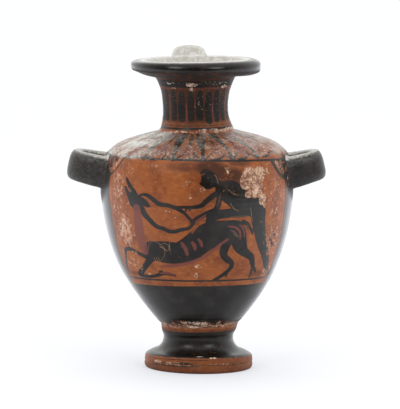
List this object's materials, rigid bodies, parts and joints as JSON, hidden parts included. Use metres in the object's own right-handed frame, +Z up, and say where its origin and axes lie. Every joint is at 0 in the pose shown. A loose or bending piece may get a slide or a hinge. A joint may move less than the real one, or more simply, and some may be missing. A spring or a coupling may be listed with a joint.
{
  "type": "black-figure hydria",
  "caption": "Small Greek water jar with a loop handle at each side and an upright strap handle behind, a flat round mouth and a spreading foot, painted in black figure on orange clay.",
  "frame": {"origin": "on the ground plane, midway between the outer ends of the two side handles", "axes": "+Z up, +Y to the back with the upright handle, -Y to the painted front, +X to the right-hand side handle seen from the front"},
  "size_m": [0.1468, 0.1088, 0.1805],
  "materials": {
    "slipped_clay": "orange fired clay under satin black slip, worn and pitted"
  },
  "bodies": {
    "root": {"hydria": "slipped_clay"}
  },
  "joints": []
}
